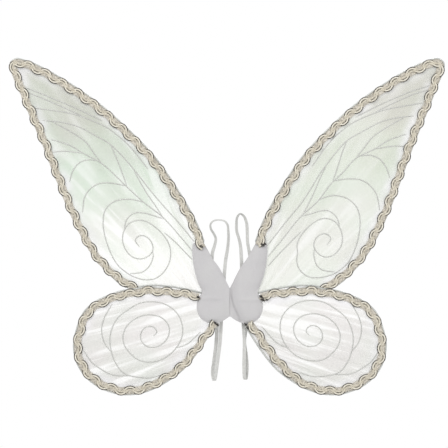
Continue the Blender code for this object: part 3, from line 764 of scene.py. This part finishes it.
# ---------------------------------------------------------------- gimp braid
def braid_middle(edge, overrun, overhang=0.0):
    """The line along a braid's middle, begun a little before the edge's first point."""
    edge = smooth(edge, CURVE_STEP)
    start = edge[0] - edge[1]
    count = int(overrun / CURVE_STEP)
    before = edge[0] + start * np.arange(count, 0, -1)[:, None]
    middle = resample(inset(np.vstack([before, edge]), BRAID_CENTRE), 1.0 * MM)
    for _ in range(4):
        middle[1:-1] = (middle[:-2] + 2 * middle[1:-1] + middle[2:]) / 4
    s = lengths(middle)
    tip = s[middle[:, 1].argmax()]
    past = ease(s, tip - 5 * MM, tip + 30 * MM) * (1 - ease(s, s[-1] - 70 * MM, s[-1] - 15 * MM))
    return middle - inward(middle) * (overhang * past)[:, None]


def pad_lift(flat, rows, side):
    """How far each row of points has to stand out to pass over the felt."""
    depth = np.where(inside(flat, FELT_OUTLINE), pad_depth(flat, -1, side), 0.0)
    lift = depth.reshape(rows, -1).max(1)
    for join in (np.max, np.mean):
        padded = np.pad(lift, 4, mode="edge")
        lift = join([padded[k:k + rows] for k in range(9)], axis=0)
    return lift


def make_braid(wing, label, side, middle, looks, seed, stop=None):
    """Soft netting with a serpentine of pale cords between dark metallic threads on it."""
    rng = np.random.default_rng(seed)
    back = wing.depth - WIRE_RADIUS - BRAID_GAP
    s = lengths(middle)
    normal = inward(middle)

    def keep(points):
        return np.ones(len(points), bool) if stop is None else ~inside(points, stop)

    # The netting: a grid along and across, ribbed and ragged at its edges.
    share = np.linspace(-1, 1, NET_COLUMNS)
    scallop = 0.7 * MM * np.sin(2 * math.pi * s / BRAID_PERIOD)
    ragged = 0.3 * MM * np.sin(s / MM * 2 * math.pi / 2.3) + rng.normal(0, 0.2 * MM, len(s))
    half = RIBBON_HALF_WIDTH + np.stack([ragged - scallop, np.roll(ragged, 7) + scallop], 1)
    offset = np.where(share[None] < 0, half[:, :1], half[:, 1:]) * share[None]
    grid = middle[:, None] + normal[:, None] * offset[..., None]
    flat = grid.reshape(-1, 2)
    lift = pad_lift(flat, len(s), side)
    base = np.minimum(back, -(lift + 0.25 * MM))
    ribs = 0.10 * MM * np.sin(s / MM * 2 * math.pi / 1.9)[:, None]
    crown = (0.25 * MM) * (1 - share[None] ** 2)
    front = (base[:, None] - RIBBON_THICKNESS - crown - ribs
             + rng.normal(0, 0.05 * MM, grid.shape[:2]))
    near = place(flat, front.reshape(-1), side)
    far = place(flat, np.repeat(base, NET_COLUMNS), side)
    kept = keep(flat)
    faces = []
    for i in range(len(s) - 1):
        for k in range(NET_COLUMNS - 1):
            near_row, next_row = i * NET_COLUMNS + k, (i + 1) * NET_COLUMNS + k
            quad = (near_row, next_row, next_row + 1, near_row + 1)
            if all(kept[j] for j in quad):
                faces.append(quad)
    ribbon = Shape()
    solid(ribbon, near, far, faces, np.tile(np.tile(1 - np.abs(share), len(s)), 2))
    ribbon = ribbon.build(f"{label}_{wing.name}_braid_net", looks["ribbon"], attribute="tone")

    # The serpentine: strands beside one swinging line.
    phase = 2 * math.pi * s / BRAID_PERIOD
    along = np.clip(s - 0.9 * MM * np.sin(2 * phase), 0, s[-1])
    swing = (BRAID_SWING * np.sin(phase))[:, None]
    curve = read(middle, s, along) + read(normal, s, along) * swing
    run = lengths(curve)
    wave = resample(curve, 0.9 * MM)
    at = np.interp(np.linspace(0, run[-1], len(wave)), run, s)
    lobe = np.sin(2 * math.pi * at / BRAID_PERIOD)
    number = np.floor(at / BRAID_PERIOD * 2).astype(int)
    strength = rng.uniform(0.72, 1.0, number.max() + 2)[number]
    depth = np.interp(at, s, base) - RIBBON_THICKNESS - 0.45 * MM
    beside = inward(wave)
    cords = Shape()
    for sign in (-1, 1):
        on_own = ease(sign * lobe, 0.05, 0.6) * strength
        on_other = ease(-sign * lobe, 0.5, 0.85) * strength
        for offset, radius, own, between, other in STRANDS:
            strand = wave + beside * sign * offset * MM
            good = keep(strand)
            # Painted shade and reflection on the threads: darker on the outside of each crest,
            # lighter between crests.
            tone = between + (own - between) * on_own + (other - between) * on_other
            tone = np.clip(tone + rng.normal(0, 0.09, len(tone)), 0, 1)
            wobble = 1 + 0.10 * np.sin(np.arange(len(strand)) * 1.9 + offset)
            path = place(strand, depth - 0.12 * MM * wobble, side)
            cords.tube(path[good], radius * MM * wobble[good], 6, 0.85, tone[good])
    cords = cords.build(f"{label}_{wing.name}_braid_cords", looks["cord"], attribute="tone")
    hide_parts(f"{label}_{wing.name}_braid")
    for piece in (ribbon, cords):
        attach(piece, label)


# ---------------------------------------------------------------- felt pads
FELT_OUTLINE = np.vstack([smooth(PANEL_EDGE, FELT_STEP), smooth(PANEL_INNER_EDGE, FELT_STEP)])
FELT_FREE_EDGE = smooth(PANEL_INNER_EDGE + PANEL_EDGE, FELT_STEP)


def pad_fold(z):
    """Where the right pad's plump edge starts, at each height."""
    heights, distances = np.array(PAD_FOLD).T * MM
    return np.interp(z, heights, distances)


def pad_depth(flat, facing, side):
    """How far the felt's outer face stands from the mid-plane."""
    x, z = flat[:, 0], flat[:, 1]
    edge = gap_to(flat, FELT_FREE_EDGE)
    puff = 1 - (1 - np.clip(edge / (11 * MM), 0, 1)) ** 2
    rim = (1.3 + 0.6 * (1 - ease(x, 2 * MM, 5 * MM))) * MM
    full = PANEL_DEPTH + 0.9 * MM * ease(edge, 6 * MM, 20 * MM)
    # Inside the waist the joined wires press a soft ridge into the felt.
    ridge = np.exp(-((z - WAIST[side]) / (2.6 * MM)) ** 2) * ease(x, 8 * MM, 18 * MM)
    full = full + 0.8 * MM * ridge
    depth = rim + (full - rim) * puff
    # Where wires come in, the felt lifts over them.
    for px, pz in WIRE_ENTRIES:
        near = np.exp(-((x - px * MM) ** 2 + (z - pz * MM) ** 2) / (2 * (4.5 * MM) ** 2))
        depth = np.maximum(depth, 3.1 * MM * near)
    if facing > 0:
        return np.minimum(depth, 1.3 * MM + 4.0 * MM * ease(x, -2 * MM, 15 * MM))
    # At the front the right pad's edge overlaps a flat flange of the left one.
    drawn = depth - 1.2 * MM * (1 - ease(x, 0.0, 14 * MM)) * puff
    if side < 0:
        return drawn
    fold = pad_fold(z)
    flange = np.maximum(drawn - 1.3 * MM * np.clip(x / fold, 0, 1) * puff, rim)
    raised = depth + 0.3 * MM * puff
    return flange + (raised - flange) * ease(x - fold, 0.0, 2.4 * MM)


def pad_painted_shade(flat, side):
    """How dark the felt is painted: painted shade along its waist, its pinched free edges and the
    right pad's fold.
    """
    x, z = flat[:, 0], flat[:, 1]
    waist = WAIST[side] - 3.0 * MM
    # Painted shadow in a band just under the waist's ridge.
    tone = 0.06 * np.exp(-((z - waist) / (1.6 * MM)) ** 2) * ease(x, 8 * MM, 20 * MM)
    # Painted shade along the pinched free edge.
    tone += 0.10 * (1 - ease(gap_to(flat, FELT_FREE_EDGE), 0.3 * MM, 2.0 * MM))
    if side > 0:
        off = x - pad_fold(z)
        # Painted shadow along the right pad's fold, and broader painted shade beside it.
        tone += 0.30 * np.exp(-((off - 0.4 * MM) / (1.7 * MM)) ** 2)
        tone += 0.17 * (1 - ease(np.abs(off - 3 * MM), 1 * MM, 11 * MM))
    return tone


def make_pad(label, facing, side, looks):
    """A felt panel: plump, pinched at its edges, with a line of stitches just inside them."""
    outline = FELT_OUTLINE.copy()
    if facing < 0:
        outline[outline[:, 0] < SEAM_EDGE, 0] = 0.01 * MM
    flat, faces = skin(outline, FELT_STEP)
    depth = pad_depth(flat, facing, side)
    rng = np.random.default_rng(PAD_SEED)
    depth = depth + rng.normal(0, 0.025 * MM, len(depth)) * ease(flat[:, 0], 1 * MM, 3 * MM)
    inner = np.maximum(depth - FELT_SHEET, 0.15 * MM)
    # Painted shade for the felt's folds and edges, carried in the tone attribute.
    painted_shade = pad_painted_shade(flat, side if facing < 0 else -1)
    shape = Shape()
    near = np.column_stack([side * flat[:, 0], facing * depth, flat[:, 1]])
    far = np.column_stack([side * flat[:, 0], facing * inner, flat[:, 1]])
    solid(shape, near, far, faces, np.tile(painted_shade, 2))
    where = "front" if facing < 0 else "back"
    pad = shape.build(f"{label}_{where}_felt", looks["felt"], 55, "tone")
    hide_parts(f"{label}_{where}_panel")
    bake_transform(pad)

    line = inset(FELT_FREE_EDGE, STITCH_INSET)
    line = line[line[:, 0] > STITCHES_FROM]
    s = lengths(line)
    stitches = Shape()
    start = 0.0
    while start < s[-1] - STITCH_LENGTH:
        part = (s >= start) & (s <= start + STITCH_LENGTH)
        if part.sum() >= 2 and np.all(np.diff(s[part]) < 4 * MM):
            dash = resample(line[part], 0.6 * MM)
            sunk = np.sin(np.linspace(0, math.pi, len(dash))) * 0.25 * MM
            d = pad_depth(dash, facing, side) + sunk - 0.12 * MM
            path = np.column_stack([side * dash[:, 0], facing * d, dash[:, 1]])
            stitches.tube(path, STITCH_RADIUS, 5)
        start += STITCH_PITCH
    stitches = stitches.build(f"{label}_{where}_stitches", looks["felt"])
    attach(stitches, label)


# ---------------------------------------------------------------- straps, knots and tacks
def make_strap(label, looks):
    """A flat woven elastic with ribs along it."""
    route = STRAPS[label]
    path = smooth([p[:3] for p in route], 1.6 * MM)
    coarse = smooth([p[:3] for p in route], 0.4 * MM)
    knots = np.array([p[:3] for p in route]) * MM
    nearest = [np.linalg.norm(coarse - k, axis=1).argmin() for k in knots]
    turns = np.radians(np.interp(lengths(path), lengths(coarse)[nearest], [p[3] for p in route]))
    run = unit(np.gradient(path, axis=0))
    level = np.cross(run, (0.0, 1.0, 0.0))
    level[int(np.argmax(path[:, 2] < -50 * MM)):] = (1.0, 0.0, 0.0)
    wide = (unit(level) * np.cos(turns)[:, None]
            + np.array([[0.0, 1.0, 0.0]]) * np.sin(turns)[:, None])
    for _ in range(6):
        wide[1:-1] = (wide[:-2] + wide[1:-1] * 2 + wide[2:]) / 4
    wide = unit(wide - run * (wide * run).sum(1)[:, None])
    deep = np.cross(run, wide)
    across = np.linspace(-1, 1, 16)
    half = STRAP_THICKNESS / 2 * (0.86 - 0.14 * np.cos(across * math.pi * 5)) * np.sqrt(
        np.clip(1.04 - across ** 8, 0, 1))
    top = [(u * STRAP_WIDTH / 2, h) for u, h in zip(across, half)]
    profile = np.array(top + [(u, -h) for u, h in reversed(top)])
    rings = (path[:, None] + wide[:, None] * profile[None, :, :1]
             + deep[:, None] * profile[None, :, 1:])
    shape = Shape()
    shape.add(rings.reshape(-1, 3), ring_faces(len(path), len(profile)))
    strap = shape.build(f"{label}_elastic", looks["elastic"], 40)
    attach(strap, label)
    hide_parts(f"{label}_strap")


def make_tack(label, where, looks):
    """A bar of close stitches across the elastic."""
    x, z, width = (v * MM for v in STRAP_TACKS[label][where])
    depth = PANEL_DEPTH + 0.3 * MM + STRAP_THICKNESS + 0.2 * MM
    shape = Shape()
    count = int(width / (0.7 * MM))
    for k in range(count):
        u = x - width / 2 + (k + 0.5) * width / count
        t = np.linspace(-1, 1, 7)
        path = np.column_stack([u + 0.25 * MM * t, depth + 0.35 * MM * (1 - t ** 4),
                                z + 1.1 * MM * t])
        shape.tube(path, 0.24 * MM, 5)
    for row in (-0.55, 0.55):
        u = np.linspace(x - width / 2, x + width / 2, 16)
        path = np.column_stack([u, np.full(16, depth + 0.12 * MM), np.full(16, z + row * MM)])
        shape.tube(path, 0.28 * MM, 5)
    tack = shape.build(f"{label}_{where}_bar_tack", looks["white_thread"])
    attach(tack, label)
    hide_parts(f"{label}_strap_tack_{where}")


def make_knot(label, where, side, looks, seed):
    """Dark thread tangles with frayed ends, over the end of the braid."""
    rng = np.random.default_rng(seed)
    shape = Shape()
    for px, pz, size in KNOT_SPOTS[label][where]:
        spot = np.array([[px * MM, pz * MM]])
        on_pad = pad_depth(spot, -1, side)[0] if inside(spot, FELT_OUTLINE)[0] else 0.0
        under = max(on_pad + 0.25 * MM, (0.1 if where == "top" else 2.5) * MM)
        depth = under + RIBBON_THICKNESS + 1.5 * MM
        centre = np.array([side * px * MM, -depth, pz * MM])
        for k in range(KNOT_LOOPS):
            t = np.linspace(0, 2 * math.pi, 22)
            tilt = rng.uniform(0, math.pi)
            r = rng.uniform(0.8, 1.3) * size * MM
            loop = np.column_stack([
                r * np.cos(t + tilt), 0.45 * MM * np.sin(2 * t + k), 0.8 * r * np.sin(t)])
            shape.tube(centre + loop + rng.normal(0, 0.25 * MM, 3), 0.42 * MM, 5)
        for _ in range(KNOT_ENDS):
            aim = rng.uniform(0, 2 * math.pi)
            reach = rng.uniform(1.6, 3.2) * size * MM
            t = np.linspace(0, 1, 7)
            curl = rng.uniform(-1, 1)
            angle = aim + curl * t
            end = np.column_stack([reach * t * np.cos(angle), 0.5 * MM * np.sin(t * 2.5),
                                   reach * t * np.sin(angle)])
            shape.tube(centre + end, 0.17 * MM * (1 - 0.5 * t), 4)
    knot = shape.build(f"{label}_{where}_thread_knot", looks["dark_thread"])
    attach(knot, label)
    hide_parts(f"{label}_braid_knot_{where}")


# ---------------------------------------------------------------- floor, light and camera
def make_stage():
    """A pale floor well below the wings, soft lights and the camera in front."""
    scene = bpy.context.scene
    bpy.ops.mesh.primitive_plane_add(size=FLOOR_SIZE, location=FLOOR_AT)
    floor = bpy.context.object
    floor.name = "floor"
    paper = Look("paper_look", (0.93, 0.93, 0.93), 0.9)
    paper.feed("Base Color", paper.ramp(
        paper.noise(3.0), [(0.3, (0.92, 0.92, 0.92)), (0.7, (0.94, 0.94, 0.94))]))
    floor.data.materials.append(paper.material)

    world = bpy.data.worlds.new("studio")
    scene.world = world
    world.use_nodes = True
    tree = world.node_tree
    background = tree.nodes["Background"]
    background.inputs["Color"].default_value = (1.0, 1.0, 1.0, 1.0)
    path = tree.nodes.new("ShaderNodeLightPath")
    strength = tree.nodes.new("ShaderNodeMapRange")
    strength.inputs["To Min"].default_value = AMBIENT
    strength.inputs["To Max"].default_value = 1.0
    tree.links.new(path.outputs["Is Camera Ray"], strength.inputs["Value"])
    tree.links.new(strength.outputs["Result"], background.inputs["Strength"])

    for name, at, size, power in LIGHTS:
        data = bpy.data.lights.new(name, "AREA")
        data.shape = "RECTANGLE"
        data.size, data.size_y = size
        data.energy = power
        lamp = bpy.data.objects.new(name, data)
        lamp.location = at
        lamp.rotation_euler = (Vector(LIGHT_AIM) - Vector(at)).to_track_quat("-Z", "Y").to_euler()
        scene.collection.objects.link(lamp)

    camera_data = bpy.data.cameras.new("camera")
    camera = bpy.data.objects.new("camera", camera_data)
    scene.collection.objects.link(camera)
    camera_data.sensor_width = SENSOR_MM
    camera_data.lens = SENSOR_MM * CAMERA_DISTANCE / FIELD_WIDTH
    camera.location = (CAMERA_X, -CAMERA_DISTANCE, CAMERA_Z)
    camera.rotation_euler = (math.pi / 2, 0, 0)
    scene.camera = camera
    scene.view_settings.view_transform = "Standard"
    scene.view_settings.look = "None"
    scene.view_settings.exposure = 0.0


# ---------------------------------------------------------------- assembly
def keep_node(name, look):
    """A CAD node that stays, with its finished material."""
    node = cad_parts[name]
    node.data.materials.clear()
    node.data.materials.append(look)


def make_half(label, side, looks):
    upper = Wing("upper", UPPER_EDGE, UPPER_LOWER_EDGE, UPPER_FILM_ROOT, UPPER_DEPTH,
                 UPPER_POLE, UPPER_RIPPLE)
    lower = Wing("lower", LOWER_EDGE, [], LOWER_FILM_ROOT, LOWER_DEPTH, LOWER_POLE, LOWER_RIPPLE)
    for wing, lines, shifts in ((upper, UPPER_SCROLLS, UPPER_RIGHT_SHIFTS),
                                (lower, LOWER_SCROLLS, LOWER_RIGHT_SHIFTS)):
        make_film(wing, label, side, looks)
        make_scrolls(wing, lines, shifts if side > 0 else [], label, side, looks)
        keep_node(f"{label}_{wing.name}_wire", looks["wire"])
        keep_node(f"{label}_{wing.name}_ferrule", looks["ferrule"])
    lower_edge = LOWER_BRAID_START + LOWER_EDGE[4:-4] + LOWER_BRAID_END[label]
    upper_middle = braid_middle(UPPER_EDGE + UPPER_BRAID_END, BRAID_OVERRUN[label],
                                BRAID_OVERHANG[label])
    stop = np.vstack([lower.loop, smooth(LOWER_FILM_ROOT, 4 * MM)])
    make_braid(upper, label, side, upper_middle, looks, UPPER_BRAID_SEED, stop)
    make_braid(lower, label, side, braid_middle(lower_edge, 0.0), looks, LOWER_BRAID_SEED)
    for facing in (-1, 1):
        make_pad(label, facing, side, looks)
    make_strap(label, looks)
    for where in ("top", "bottom"):
        make_tack(label, where, looks)
    for k, where in enumerate(("top", "side", "bottom")):
        make_knot(label, where, side, looks, KNOT_SEED + k)


make_stage()
all_looks = make_looks()
keep_node("centre_seam", all_looks["felt"])
make_half("left", -1, all_looks)
make_half("right", 1, all_looks)
